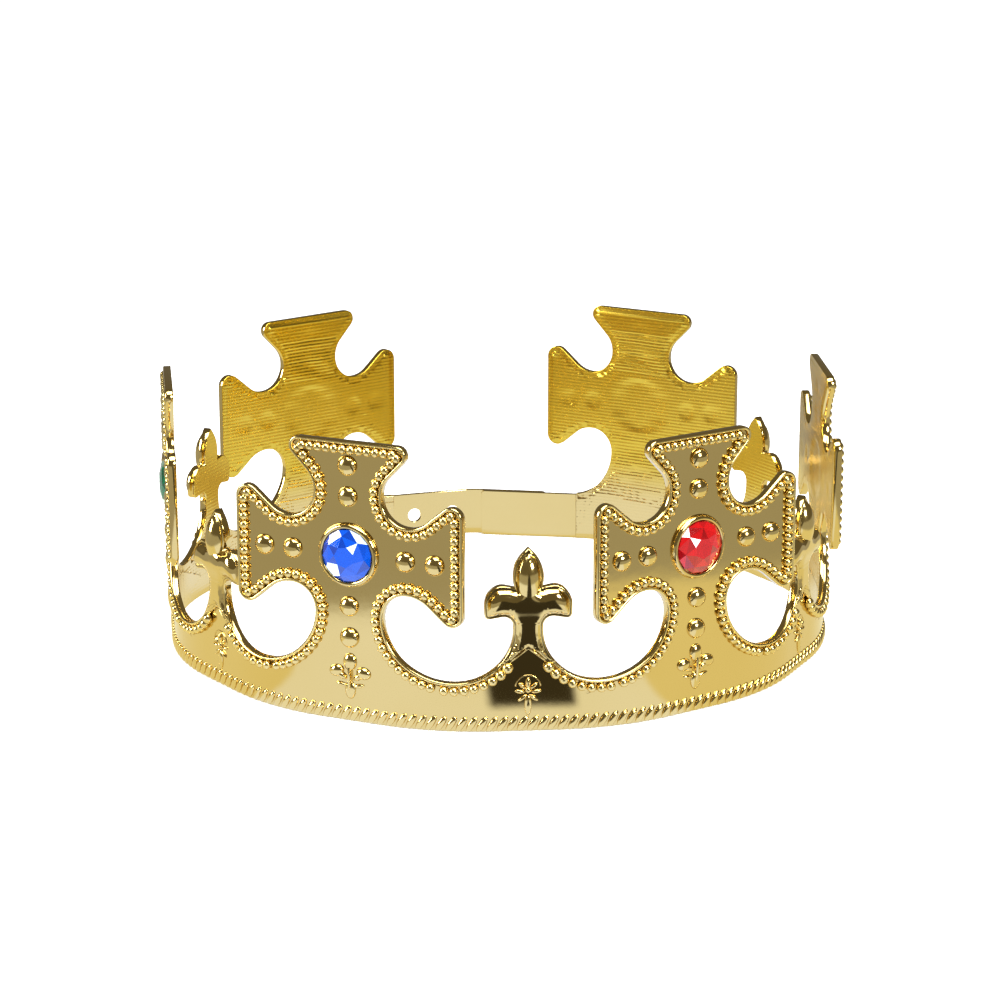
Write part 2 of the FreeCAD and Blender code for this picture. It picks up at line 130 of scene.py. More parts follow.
class Graph:
    """A node tree that is built one node at a time."""

    def __init__(self, tree: bpy.types.NodeTree) -> None:
        """Starts from an empty tree."""
        self.tree = tree
        tree.nodes.clear()

    def node(self, kind: str, settings: dict, inputs: dict, output: Union[str, int] = 0) -> Wire:
        """Adds a node.

        Args:
            kind: The node's type.
            settings: Its properties; stops, for a colour ramp, are (position, colour) pairs.
            inputs: Values or wires by socket name or number.
            output: The output socket to return.

        Returns:
            The chosen output as a wire.
        """
        made = self.tree.nodes.new(kind)
        for name, value in settings.items():
            if name == "stops":
                self._stops(made.color_ramp.elements, value)
            else:
                setattr(made, name, value)
        for name, value in inputs.items():
            if isinstance(value, Wire):
                self.tree.links.new(value.socket, made.inputs[name])
            else:
                made.inputs[name].default_value = value
        found = made.outputs[output] if len(made.outputs) else None
        return Wire(self, found)

    def _stops(self, elements: bpy.types.ColorRampElements, stops: list) -> None:
        """Sets a ramp's stops, adding those it lacks.

        Args:
            elements: The ramp's stops.
            stops: Pairs of position and colour.
        """
        while len(elements) < len(stops):
            elements.new(1.0)
        for element, (position, colour) in zip(elements, stops):
            element.position = position
            element.color = colour

    def mix(self, factor: Value, first: Value, second: Value) -> Wire:
        """Mixes two colours.

        Args:
            factor: How much of the second colour.
            first: The colour at factor 0.
            second: The colour at factor 1.

        Returns:
            The mixed colour.
        """
        return self.node("ShaderNodeMix", {"data_type": "RGBA"}, {0: factor, 6: first, 7: second}, 2)

    def noise(self, scale: float, detail: float = 2.0) -> Wire:
        """A noise pattern on the piece's own coordinates, in metres."""
        place = self.node("ShaderNodeTexCoord", {}, {}, "Object")
        return self.node("ShaderNodeTexNoise", {}, {"Vector": place, "Scale": scale, "Detail": detail})


def new_material(name: str) -> tuple[bpy.types.Material, Graph]:
    """An empty node material and its graph."""
    made = bpy.data.materials.new(name)
    made.use_nodes = True
    return made, Graph(made.node_tree)


# ---------------------------------------------------------------- finishes


@dataclass(frozen=True)
class GoldPlating:
    """Vacuum plated plastic: a mirror with the slight waviness of the moulding under it."""

    name: str
    tint: tuple = (0.74, 0.565, 0.225, 1.0)
    warm: tuple = (0.70, 0.515, 0.180, 1.0)
    rubbed: tuple = (0.94, 0.75, 0.30, 1.0)
    roughness: float = 0.075
    ripple: float = 0.05
    lines: float = 0.0
    low: Union[tuple, None] = None
    low_span: tuple = (12.0, 30.0)
    line_scale: float = math.tau / (20.0 * RIB_PITCH * MILLIMETRE)

    def make(self) -> bpy.types.Material:
        """Builds the material.

        Returns:
            The finished material.
        """
        material, graph = new_material(self.name)
        cloud = graph.noise(38.0, 3.0)
        speckle = graph.noise(2600.0, 2.0)
        wear = graph.node("ShaderNodeAttribute", {"attribute_name": "rubbed"}, {}, "Fac")
        plate = graph.mix(cloud, self.tint, self.warm)
        # Towards the bottom the colour fades to low; on the ribbed back this fades out its painted
        # gold-on-gold reflection.
        if self.low:
            place = graph.node("ShaderNodeTexCoord", {}, {}, "Object")
            level = graph.node("ShaderNodeSeparateXYZ", {}, {"Vector": place}, "Z")
            start, end = (limit * MILLIMETRE for limit in self.low_span)
            span = {"Value": level, "From Min": start, "From Max": end}
            rise = graph.node("ShaderNodeMapRange", {"interpolation_type": "SMOOTHSTEP"}, span)
            plate = graph.mix(rise, self.low, plate)
        colour = graph.mix(wear * (0.35 + 0.5 * speckle), plate, self.rubbed)
        height = graph.noise(150.0, 2.0) * 0.6 + speckle * 0.03
        if self.lines:
            place = graph.node("ShaderNodeTexCoord", {}, {}, "Object")
            bands = graph.node(
                "ShaderNodeTexWave",
                {"bands_direction": "Z"},
                {
                    "Vector": place,
                    "Scale": self.line_scale,
                    "Distortion": 0.25,
                    "Detail": 1.0,
                    "Detail Scale": 0.4,
                },
            )
            height = height + bands * self.lines
        waviness = {"Strength": 1.0, "Distance": self.ripple * MILLIMETRE, "Height": height}
        bump = graph.node("ShaderNodeBump", {}, waviness)
        shader = graph.node(
            "ShaderNodeBsdfPrincipled",
            {},
            {
                "Base Color": colour,
                "Metallic": 1.0,
                "Roughness": self.roughness + 0.05 * speckle + 0.14 * wear,
                "Normal": bump,
            },
        )
        graph.node("ShaderNodeOutputMaterial", {}, {"Surface": shader})
        return material


@dataclass(frozen=True)
class FacetedAcrylic:
    """Foil backed acrylic: each facet's colour, from deep to bright, is painted reflection of the light the
    foil throws back, and pale facets are painted highlights.
    """

    colour: Colour
    deep: tuple
    bright: tuple
    pale: tuple

    def make(self) -> bpy.types.Material:
        """Builds the material.

        Returns:
            The finished material.
        """
        material, graph = new_material(self.colour.value)
        painted_reflection_tone = graph.node("ShaderNodeAttribute", {"attribute_name": "facet"}, {}, "Fac")
        streak = graph.noise(420.0, 2.0)
        # Deep to bright is painted reflection by facet; pale is a painted highlight.
        stops = [(0.0, self.deep), (0.5, self.bright), (0.84, self.bright), (0.94, self.pale)]
        shade = graph.node(
            "ShaderNodeValToRGB",
            {"stops": stops},
            {"Fac": painted_reflection_tone * 0.85 + streak * 0.22},
        )
        shader = graph.node(
            "ShaderNodeBsdfPrincipled",
            {},
            {
                "Base Color": shade,
                "Roughness": 0.04 + 0.03 * streak,
                "IOR": 1.5,
                "Coat Weight": 1.0,
                "Coat Roughness": 0.02,
                # A faint glow of the facet colour: painted light, since the stone is no lamp.
                "Emission Color": shade,
                "Emission Strength": 0.05,
            },
        )
        graph.node("ShaderNodeOutputMaterial", {}, {"Surface": shader})
        return material


@dataclass(frozen=True)
class TableTop:
    """The table as the plating mirrors it: pale in front, golden beside, dim far off, with a dark wedge."""

    pale: tuple = (1.07, 1.16, 1.45, 1)
    golden: tuple = (0.98, 0.94, 0.66, 1)
    dim: tuple = (0.46, 0.455, 0.43, 1)
    dark: tuple = (0.05, 0.045, 0.035, 1)
    middle: float = 0.015
    dim_from: float = 0.189
    dim_full: float = 0.210
    pale_middle: float = math.radians(-10.5)
    pale_half: float = math.radians(37.0)
    wedge_middle: float = math.radians(2.2)
    wedge_half: float = math.radians(5.6)
    wedge_from: float = 0.111
    soft_turn: float = 0.05
    soft_reach: float = 0.009
    ring_edge: tuple = (0.088, 0.092)

    def share(self, graph: Graph, value: "Value", start: float, end: float) -> Wire:
        """A soft step.

        Args:
            graph: The material's graph.
            value: What is compared.
            start: Up to here the step is 0.
            end: From here on it is 1.

        Returns:
            The step as a wire.
        """
        inputs = {"Value": value, "From Min": start, "From Max": end}
        return graph.node("ShaderNodeMapRange", {"interpolation_type": "SMOOTHSTEP"}, inputs)

    def make(self) -> bpy.types.Material:
        """Builds the material.

        Returns:
            The finished material.
        """
        material, graph = new_material("table_top")
        place = graph.node("ShaderNodeTexCoord", {}, {}, "Object")
        x = graph.node("ShaderNodeSeparateXYZ", {}, {"Vector": place}, "X")
        y = graph.node("ShaderNodeSeparateXYZ", {}, {"Vector": place}, "Y")
        turn = graph.node("ShaderNodeMath", {"operation": "ARCTAN2"}, {0: x, 1: y * -1.0})
        reach = graph.node("ShaderNodeVectorMath", {"operation": "LENGTH"}, {0: place}, "Value")
        away = graph.node(
            "ShaderNodeVectorMath", {"operation": "DISTANCE"}, {0: place, 1: (self.middle, 0.0, 0.0)}, "Value"
        )
        aside = graph.node("ShaderNodeMath", {"operation": "ABSOLUTE"}, {0: turn - self.pale_middle})
        astray = graph.node("ShaderNodeMath", {"operation": "ABSOLUTE"}, {0: turn - self.wedge_middle})
        side = self.share(graph, aside, self.pale_half, self.pale_half + self.soft_turn)
        side = side * self.share(graph, reach, *self.ring_edge)
        near = graph.mix(side, self.pale, self.golden)
        lit = graph.mix(self.share(graph, away, self.dim_from, self.dim_full), near, self.dim)
        wedge = 1 - self.share(graph, astray, self.wedge_half, self.wedge_half + self.soft_turn)
        wedge = wedge * self.share(graph, reach, self.wedge_from, self.wedge_from + self.soft_reach)
        colour = graph.mix(wedge, lit, self.dark)
        glow = graph.node("ShaderNodeEmission", {}, {"Color": colour, "Strength": 1.0})
        graph.node("ShaderNodeOutputMaterial", {}, {"Surface": glow})
        return material


@dataclass(frozen=True)
class Paper:
    """Plain white paper for the floor."""

    def make(self) -> bpy.types.Material:
        """Builds the material.

        Returns:
            The finished material.
        """
        material, graph = new_material("floor_paper")
        grain = graph.noise(900.0, 3.0)
        colour = graph.mix(grain, (0.93, 0.93, 0.93, 1), (0.96, 0.96, 0.96, 1))
        shader = graph.node("ShaderNodeBsdfPrincipled", {}, {"Base Color": colour, "Roughness": 0.9})
        graph.node("ShaderNodeOutputMaterial", {}, {"Surface": shader})
        return material


# ---------------------------------------------------------------- outlines


@dataclass(frozen=True)
class Corner:
    """A corner of an outline, rounded to a radius."""

    x: float
    z: float
    radius: float = 0.0

    def first(self) -> Vector:
        """Where the outline reaches it."""
        return Vector((self.x, self.z))

    last = first

    def mirrored(self) -> "Corner":
        """The same corner on the other half."""
        return Corner(-self.x, self.z, self.radius)


@dataclass(frozen=True)
class Oval:
    """A part of an ellipse, from one angle to another in degrees."""

    x: float
    z: float
    wide: float
    high: float
    start: float
    end: float

    def at(self, degrees: float) -> Vector:
        """The point at an angle."""
        turn = math.radians(degrees)
        return Vector((self.x + self.wide * math.cos(turn), self.z + self.high * math.sin(turn)))

    def first(self) -> Vector:
        """Its first point."""
        return self.at(self.start)

    def last(self) -> Vector:
        """Its last point."""
        return self.at(self.end)

    def points(self) -> list[Vector]:
        """Points along it, about one arc step apart."""
        length = math.radians(abs(self.end - self.start)) * (self.wide + self.high) / 2
        steps = math.ceil(length / ARC_STEP)
        return [self.at(self.start + (self.end - self.start) * k / steps) for k in range(steps + 1)]

    def mirrored(self) -> "Oval":
        """The same curve on the other half, run the other way."""
        return Oval(-self.x, self.z, self.wide, self.high, 180 - self.end, 180 - self.start)


Outline = list[Union[Corner, Oval]]


def both_halves(right: Outline, left: Outline) -> Outline:
    """A closed outline from a right half and the half that is mirrored to the left.

    Args:
        right: The right half, from the bottom to the top.
        left: The other half, also drawn on the right.

    Returns:
        The whole outline, anticlockwise.
    """
    return right + [item.mirrored() for item in reversed(left)]


def rounded(corner: Corner, before: Vector, after: Vector) -> list[Vector]:
    """Points of the arc that rounds a corner.

    Args:
        corner: The corner.
        before: The point the outline comes from.
        after: The point it goes to.

    Returns:
        Points about one arc step apart.
    """
    tip = corner.first()
    back, on = (before - tip).normalized(), (after - tip).normalized()
    half = back.angle(on) / 2
    centre = tip + (back + on).normalized() * corner.radius / math.sin(half)
    spoke = tip + back * corner.radius / math.tan(half) - centre
    turn = math.pi - 2 * half
    way = 1 if (-back).cross(on) > 0 else -1
    steps = max(3, math.ceil(turn * corner.radius / ARC_STEP))
    return [centre + Matrix.Rotation(way * turn * k / steps, 2) @ spoke for k in range(steps + 1)]


def draw(bm: BMesh, outline: Outline, depth: float) -> BMFace:
    """Draws a closed outline by pulling one vertex along it, and fills it.

    Args:
        bm: The mesh to draw in.
        outline: The corners and ovals.
        depth: The distance behind the panel's face.

    Returns:
        The filled face, which looks towards -Y.
    """
    points: list[Vector] = []
    for i, item in enumerate(outline):
        if isinstance(item, Oval):
            points += item.points()
        elif item.radius:
            points += rounded(item, outline[i - 1].last(), outline[(i + 1) % len(outline)].first())
        else:
            points.append(item.first())
    tip = bmesh.ops.create_vert(bm, co=(points[0].x, depth, points[0].y))["vert"][0]
    start, edges = tip, []
    for point in points[1:]:
        if (Vector((tip.co.x, tip.co.z)) - point).length < 0.02:
            continue
        pulled = bmesh.ops.extrude_vert_indiv(bm, verts=[tip])
        tip = pulled["verts"][0]
        tip.co = (point.x, depth, point.y)
        edges += pulled["edges"]
    edges.append(bm.edges.new((tip, start)))
    face = bmesh.ops.edgeloop_fill(bm, edges=edges)["faces"][0]
    face.normal_update()
    if face.normal.y > 0:
        face.normal_flip()
    return face


def terrace(bm: BMesh, face: BMFace, steps: list[tuple[float, float]]) -> list[BMFace]:
    """Insets a face again and again, each time to its own depth.

    Args:
        bm: The mesh.
        face: The face, which stays the innermost.
        steps: Pairs of inset width and depth behind the panel's face.

    Returns:
        The rings of faces round it.
    """
    rings = []
    for width, depth in steps:
        rings += bmesh.ops.inset_region(
            bm, faces=[face], thickness=width, use_boundary=True, use_even_offset=True
        )["faces"]
        for vert in face.verts:
            vert.co.y = depth
    return rings


def parts_of(faces: list[BMFace]) -> list:
    """The faces with their edges and vertices, as an operator takes them."""
    edges = {edge for face in faces for edge in face.edges}
    verts = {vert for face in faces for vert in face.verts}
    return [*verts, *edges, *faces]


def slice_at(bm: BMesh, faces: list[BMFace], point: tuple, normal: tuple) -> None:
    """Divides faces along a plane."""
    bmesh.ops.bisect_plane(bm, geom=parts_of(faces), dist=1e-4, plane_co=point, plane_no=normal)


def cut_off(bm: BMesh, faces: list[BMFace], point: tuple, normal: tuple) -> None:
    """Cuts away what lies beyond a plane and closes the cut with a crisp edge.

    Args:
        bm: The mesh.
        faces: The faces that are cut.
        point: A point of the plane.
        normal: The side that goes.
    """
    cut = bmesh.ops.bisect_plane(
        bm, geom=parts_of(faces), dist=1e-4, plane_co=point, plane_no=normal, clear_outer=True
    )
    rim = [part for part in cut["geom_cut"] if isinstance(part, BMEdge) and part.link_faces]
    stray = [edge for edge in bm.edges if not edge.link_faces]
    bmesh.ops.delete(bm, geom=stray, context="EDGES")
    for cap in bmesh.ops.edgeloop_fill(bm, edges=rim)["faces"]:
        cap[bm.faces.layers.int["ribbed"]] = CAP
    for edge in rim:
        edge.smooth = False


def steps_between(start: float, end: float, step: float) -> list[float]:
    """Values from start up to end, one step apart."""
    return [start + k * step for k in range(int((end - start) / step) + 1)]


def ease(value: float, start: float, end: float) -> float:
    """0 up to start, 1 from end on, and smooth between."""
    share = min(max((value - start) / (end - start), 0.0), 1.0)
    return share * share * (3 - 2 * share)


# ---------------------------------------------------------------- bending and placing


@dataclass(frozen=True)
class Bend:
    """The plan of one half of a strip: straight, then an arc that turns inwards."""

    flat: float = 8.0
    radius: float = 64.48
    turn: float = PITCH / 2

    @property
    def end(self) -> float:
        """The length to the end of the arc."""
        return self.flat + self.radius * self.turn

    def place(self, along: float, out: float, face: float) -> tuple[float, float]:
        """Where a point of the strip comes to lie.

        Args:
            along: Its distance from the middle of the panel.
            out: Its height over the outer face.
            face: The distance of the outer face from the axis.

        Returns:
            x and y of the bent strip, with the panel in front.
        """
        if along <= self.flat:
            return along, -(face + out)
        angle = min((along - self.flat) / self.radius, self.turn)
        rest = max(along - self.end, 0.0)
        reach = self.radius + out
        x = self.flat + reach * math.sin(angle) + rest * math.cos(angle)
        y = self.radius - face - reach * math.cos(angle) + rest * math.sin(angle)
        return x, y


@dataclass
class Strip:
    """A piece moulded flat, in millimetres, x along, -y out and z up, then bent and turned into place."""

    name: str
    nodes: tuple
    body: str
    angle: float
    face: float = FACE
    right: Bend = field(default_factory=Bend)
    left: Bend = field(default_factory=Bend)
    flat_from: float = 23.0
    bent_to: float = 15.0

    def start(self) -> BMesh:
        """Starts a mesh.

        Returns:
            An empty mesh with the layers that the finishes and the ribs use.
        """
        bm = bmesh.new()
        bm.faces.layers.int.new("ribbed")
        bm.verts.layers.float.new("rubbed")
        return bm

    def placed(self, point: Vector) -> Vector:
        """Bends and turns a point of the flat strip.

        Args:
            point: The point, in millimetres.

        Returns:
            Where it comes to lie, in metres.
        """
        side = self.right if point.x >= 0 else self.left
        x, y = side.place(abs(point.x), -point.y, self.face)
        bent = Vector((math.copysign(x, point.x), y, point.z))
        flat = Vector((point.x, point.y - self.face, point.z))
        share = ease(point.z, self.bent_to, self.flat_from)
        return Matrix.Rotation(self.angle, 3, "Z") @ bent.lerp(flat, share) * MILLIMETRE

    def finish(self, bm: BMesh, materials: list, slot: str, smooth: bool = True) -> bpy.types.Object:
        """Places the mesh, makes it an object, puts it under its body and hides the parts it replaces.

        Args:
            bm: The flat mesh, which is freed.
            materials: The materials by index.
            slot: Not used.
            smooth: Whether the faces are shaded smooth.

        Returns:
            The finished piece.
        """
        for vert in bm.verts:
            vert.co = self.placed(vert.co)
        for each in bm.faces:
            each.smooth = smooth
        bmesh.ops.recalc_face_normals(bm, faces=bm.faces)
        mesh = bpy.data.meshes.new(self.name)
        bm.to_mesh(mesh)
        bm.free()
        for material in materials:
            mesh.materials.append(material)
        piece = bpy.data.objects.new(self.name, mesh)
        bpy.context.scene.collection.objects.link(piece)
        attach(piece, self.body)
        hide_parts(*self.nodes)
        log.info("%s: %d faces on %s", self.name, len(mesh.polygons), self.body)
        return piece


# ---------------------------------------------------------------- relief


def half_ball(name: str, segments: int) -> bpy.types.Mesh:
    """A unit ball that ends a little behind its middle and is closed there.

    Args:
        name: The mesh's name.
        segments: How finely it is divided round, or 0 for the few faces of a bead.

    Returns:
        The mesh.
    """
    bm = bmesh.new()
    if segments:
        bmesh.ops.create_uvsphere(bm, u_segments=segments, v_segments=segments // 2 + 1, radius=1.0)
    else:
        bmesh.ops.create_icosphere(bm, subdivisions=2, radius=1.0)
    cut = bmesh.ops.bisect_plane(
        bm,
        geom=parts_of(list(bm.faces)),
        dist=1e-4,
        plane_co=(0, 0.2, 0),
        plane_no=(0, 1, 0),
        clear_outer=True,
    )
    bmesh.ops.edgeloop_fill(bm, edges=[part for part in cut["geom_cut"] if isinstance(part, BMEdge)])
    mesh = bpy.data.meshes.new(name)
    bm.to_mesh(mesh)
    bm.free()
    return mesh


@dataclass
class Punches:
    """The small shapes that are pressed into every panel."""

    bead: bpy.types.Mesh = field(default_factory=lambda: half_ball("punch_bead", 0))
    strand: bpy.types.Mesh = field(default_factory=lambda: half_ball("punch_strand", 10))
    leaf: bpy.types.Mesh = field(default_factory=lambda: half_ball("punch_leaf", 14))
    stud: bpy.types.Mesh = field(default_factory=lambda: half_ball("punch_stud", 28))


@dataclass
class Relief:
    """Small raised shapes that the mould presses into a panel."""

    bm: BMesh
    punches: Punches

    def press(self, punch: bpy.types.Mesh, matrix: Matrix, rubbed: float) -> None:
        """Adds a punch's shape.

        Args:
            punch: The shape.
            matrix: Its size, lean and place.
            rubbed: How rubbed it is by handling.
        """
        before = len(self.bm.verts)
        punch.transform(matrix)
        self.bm.from_mesh(punch)
        punch.transform(matrix.inverted())
        layer = self.bm.verts.layers.float["rubbed"]
        self.bm.verts.ensure_lookup_table()
        for vert in self.bm.verts[before:]:
            vert[layer] = rubbed

    def pad(
        self,
        punch: bpy.types.Mesh,
        x: float,
        z: float,
        wide: float,
        high: float,
        proud: float,
        lean: float = 0.0,
    ) -> None:
        """A raised oval pad.

        Args:
            punch: The shape that is stretched.
            x: Its middle along the panel.
            z: Its middle height.
            wide: Half its width.
            high: Half its height.
            proud: How far it stands out.
            lean: How far it leans to the right, in degrees.
        """
        shape = Matrix.Diagonal((wide, proud, high, 1.0))
        turned = Matrix.Rotation(math.radians(lean), 4, "Y") @ shape
        self.press(punch, Matrix.Translation((x, 0.0, z)) @ turned, 0.25)

    def bead(self, x: float, z: float, radius: float) -> None:
        """A bead of the border, about half of it showing."""
        spot = Matrix.Translation((x, -0.36 * radius, z))
        self.press(self.punches.bead, spot @ Matrix.Scale(radius, 4), 0.8)

    def ridge(self, x: float, z: float, radius: float, start: float, end: float, thick: float) -> None:
        """A thin raised arc.

        Args:
            x: The arc's centre along the panel.
            z: The arc's centre height.
            radius: The arc's radius.
            start: Where it starts, in degrees from the right.
            end: Where it ends.
            thick: Half its thickness.
        """
        ring = bmesh.ops.create_circle(
            self.bm,
            cap_ends=True,
            segments=8,
            radius=thick,
            matrix=Matrix.Translation((x + radius, 0, z)),
        )["verts"]
        middle = (x, 0, z)
        bmesh.ops.rotate(
            self.bm, verts=ring, cent=middle, matrix=Matrix.Rotation(math.radians(-start), 3, "Y")
        )
        faces = list({face for vert in ring for face in vert.link_faces})
        bmesh.ops.spin(
            self.bm,
            geom=parts_of(faces),
            cent=middle,
            axis=(0, 1, 0),
            angle=math.radians(start - end),
            steps=max(4, round(radius * math.radians(abs(end - start)) / 0.6)),
        )

    def bar(
        self,
        punch: bpy.types.Mesh,
        start: tuple[float, float],
        end: tuple[float, float],
        thick: float,
        proud: float,
    ) -> None:
        """A thin raised bar.

        Args:
            punch: The shape that is stretched.
            start: Where it starts.
            end: Where it ends.
            thick: Half its width.
            proud: How far it stands out.
        """
        first, last = Vector(start), Vector(end)
        middle, run = (first + last) / 2, last - first
        lean = math.degrees(math.atan2(run.x, run.y))
        self.pad(punch, middle.x, middle.y, thick, run.length / 2 + thick, proud, lean)


def along_loop(verts: list[BMVert], keep: Callable[[Vector], bool]) -> list[Vector]:
    """The longest unbroken run of a closed loop of vertices that passes a test.

    Args:
        verts: The loop in order.
        keep: The test of a vertex's place.

    Returns:
        The places of the run in order.
    """
    places = [vert.co.copy() for vert in verts]
    first = next(i for i, place in enumerate(places) if not keep(place))
    turned = places[first:] + places[:first]
    runs: list[list[Vector]] = [[]]
    for place in turned:
        if keep(place):
            runs[-1].append(place)
        elif runs[-1]:
            runs.append([])
    return max(runs, key=len)


def spaced(path: list[Vector], pitch: float) -> list[Vector]:
    """Divides a path evenly.

    Args:
        path: The path's points.
        pitch: The wished distance between the places.

    Returns:
        Places along it, half a step in from both ends.
    """
    lengths = [(b - a).length for a, b in zip(path, path[1:])]
    count = max(1, round(sum(lengths) / pitch))
    step = sum(lengths) / count
    out, walked, i = [], 0.0, 0
    for k in range(count):
        target = (k + 0.5) * step
        while i < len(lengths) - 1 and walked + lengths[i] < target:
            walked += lengths[i]
            i += 1
        out.append(path[i].lerp(path[i + 1], (target - walked) / lengths[i]))
    return out


# ---------------------------------------------------------------- panels


@dataclass
class Panel(Strip):
    """A section of the moulding: a plate with a rolled lip, a bead row, a rope edge and a ribbed back."""

    border: float = 2.3
    bead_pitch: float = 2.4
    bead_radius: float = 1.3
    rope_pitch: float = 2.75
    rope_slant: float = 0.8
    rib_pitch: float = RIB_PITCH
    rib_depth: float = 0.13

    def outline(self) -> Outline:
        """The panel's outline, which overshoots its bottom and its joints."""
        raise NotImplementedError

    def plate(self, bm: BMesh) -> None:
        """Makes the plate with its lip, its ribbed back and its clean joints.

        Args:
            bm: The panel's mesh.
        """
        front = draw(bm, self.outline(), -0.42)
        copied = bmesh.ops.duplicate(bm, geom=parts_of([front]))["geom"]
        back = next(part for part in copied if isinstance(part, BMFace))
        for vert in back.verts:
            vert.co.y = WALL - 0.12
        back.normal_flip()
        bmesh.ops.bridge_loops(bm, edges=[*front.edges, *back.edges])
        crest = [(0.16, -0.68), (0.22, -0.8), (0.34, -0.78)]
        slope = [(0.26, -0.5), (0.18, -0.1), (0.06, 0.0), (0.06, 0.0)]
        self.rub_lip(bm, terrace(bm, front, crest + slope))
        behind = terrace(bm, back, [(0.12, WALL), (0.06, WALL), (1.5, WALL)])
        ribbed = [*terrace(bm, back, [(0.4, WALL)]), back]
        for face in [*behind, *ribbed]:
            face.material_index = 1
        layer = bm.faces.layers.int["ribbed"]
        for face in ribbed:
            face[layer] = RIBBED
        bmesh.ops.connect_verts_concave(bm, faces=list(bm.faces))
        self.trim(bm)
        self.rib(bm)
        self.facet_bend(bm)

    def rub_lip(self, bm: BMesh, rings: list[BMFace]) -> None:
        """Marks the crest of the lip as rubbed.

        Args:
            bm: The panel's mesh.
            rings: The faces of the lip.
        """
        layer = bm.verts.layers.float["rubbed"]
        for face in rings:
            for vert in face.verts:
                vert[layer] = 1.0 if vert.co.y < -0.75 else 0.0

    def low_faces(self, bm: BMesh) -> list[BMFace]:
        """The faces of the band below the arms."""
        return [f for f in bm.faces if max(v.co.z for v in f.verts) < BAND_TOP + 0.01]

    def trim(self, bm: BMesh) -> None:
        """Cuts the plate at its bottom and at both joints.

        Args:
            bm: The panel's mesh.
        """
        slice_at(bm, list(bm.faces), (0, 0, BAND_TOP), (0, 0, 1))
        cut_off(bm, list(bm.faces), (0, 0, 0), (0, 0, -1))
        cut_off(bm, self.low_faces(bm), (self.right.end, 0, 0), (1, 0, 0))
        cut_off(bm, self.low_faces(bm), (-self.left.end, 0, 0), (-1, 0, 0))

    def swell(self, x: float, z: float) -> float:
        """How far the back stands proud at a place, beyond its ribs."""
        return 0.0

    def rib(self, bm: BMesh) -> None:
        """Raises fine level ribs on the back, inside the plain margin.

        Args:
            bm: The panel's mesh.
        """
        layer = bm.faces.layers.int["ribbed"]
        tops = [v.co.z for f in bm.faces if f[layer] == RIBBED for v in f.verts]
        for level in steps_between(self.rib_pitch, max(tops), self.rib_pitch / 2):
            slice_at(bm, [f for f in bm.faces if f[layer] == RIBBED], (0, 0, level), (0, 0, 1))
        ends = [v.co.x for f in bm.faces if f[layer] == RIBBED for v in f.verts]
        for place in steps_between(min(ends) + 0.7, max(ends), 2.4):
            slice_at(bm, [f for f in bm.faces if f[layer] == RIBBED], (place, 0, 0), (1, 0, 0))
        inside = {v for f in bm.faces if f[layer] == RIBBED for v in f.verts}
        for vert in inside:
            if all(f[layer] in (RIBBED, CAP) for f in vert.link_faces):
                x, z = vert.co.x, vert.co.z
                wave = -math.cos(math.tau * z / self.rib_pitch)
                drift = 0.16 * math.sin(x / 6.5) + 0.05 * math.sin(x / 2.3 + z / 9.0)
                vert.co.y = WALL + self.rib_depth * 0.5 * (1 + wave) + self.swell(x, z)
                vert.co.z += drift * min(1.0, z / 6.0)

    def facet_bend(self, bm: BMesh) -> None:
        """Divides the band finely enough to bend.

        Args:
            bm: The panel's mesh.
        """
        for level in (self.bent_to, 17.0, 18.7, 21.3, self.flat_from):
            slice_at(bm, list(bm.faces), (0, 0, level), (0, 0, 1))
        for way, bend in ((1, self.right), (-1, self.left)):
            places = [*steps_between(bend.flat, bend.end - 1.0, 1.6), bend.flat + 0.12, bend.end - 0.12]
            for place in places:
                faces = [f for f in bm.faces if max(v.co.z for v in f.verts) < self.flat_from + 0.01]
                slice_at(bm, faces, (way * place, 0, 0), (1, 0, 0))

    def bead_path(self) -> list[Vector]:
        """Finds the line that the bead row follows.

        Returns:
            Its places, from joint to joint.
        """
        scratch = bmesh.new()
        face = draw(scratch, self.outline(), 0.0)
        terrace(scratch, face, [(self.border, 0.0)])
        line = [loop.vert for loop in face.loops]

        def shown(place: Vector) -> bool:
            """Whether a place of the loop is on this panel's border."""
            low = place.z < BAND_TOP
            beyond = place.x > self.bead_end(Side.RIGHT) or place.x < -self.bead_end(Side.LEFT)
            return not (low and beyond) and place.z > 6.0

        path = along_loop(line, shown)
        scratch.free()
        return path

    def bead_end(self, side: Side) -> float:
        """How far out the bead row runs on the band."""
        return self.right.end if side is Side.RIGHT else self.left.end

    def beads(self, relief: Relief) -> None:
        """Sets the bead row along the border."""
        for place in spaced(self.bead_path(), self.bead_pitch):
            relief.bead(place.x, place.z, self.bead_radius)

    def rope(self, relief: Relief) -> None:
        """Sets the slanted strands of the rope edge.

        Args:
            relief: Where they are pressed.
        """
        for way, bend in ((1, self.right), (-1, self.left)):
            count = round(bend.end / self.rope_pitch)
            step = bend.end / count
            for k in range(count):
                middle = way * (k + 0.5) * step
                low, high = (middle - self.rope_slant, 0.75), (middle + self.rope_slant, 3.2)
                relief.bar(relief.punches.strand, low, high, 1.0, 0.8)


